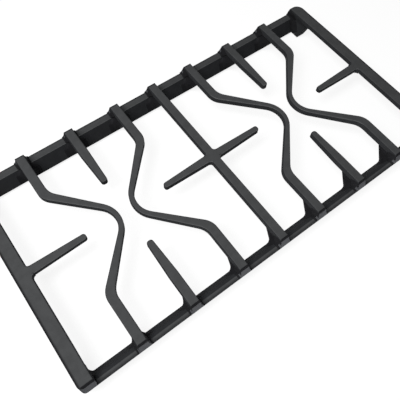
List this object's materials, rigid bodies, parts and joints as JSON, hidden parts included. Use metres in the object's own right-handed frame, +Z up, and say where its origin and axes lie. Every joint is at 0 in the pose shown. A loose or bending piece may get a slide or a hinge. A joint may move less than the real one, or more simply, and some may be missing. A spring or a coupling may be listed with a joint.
{
  "type": "hob pan support",
  "caption": "Cast iron pan support for a gas hob: level straight bars, bowed bars and tapered fingers on low rails with corner feet, open over the burners.",
  "frame": {"origin": "centre of the support in plan, at the level of the soles of its feet", "axes": "+X along the rails, +Y from the front rail to the back rail, +Z up to the pan"},
  "size_m": [0.48, 0.2514, 0.035],
  "materials": {
    "enamelled_iron": "satin black vitreous enamel"
  },
  "bodies": {
    "root": {"pan_support": "enamelled_iron"}
  },
  "joints": []
}
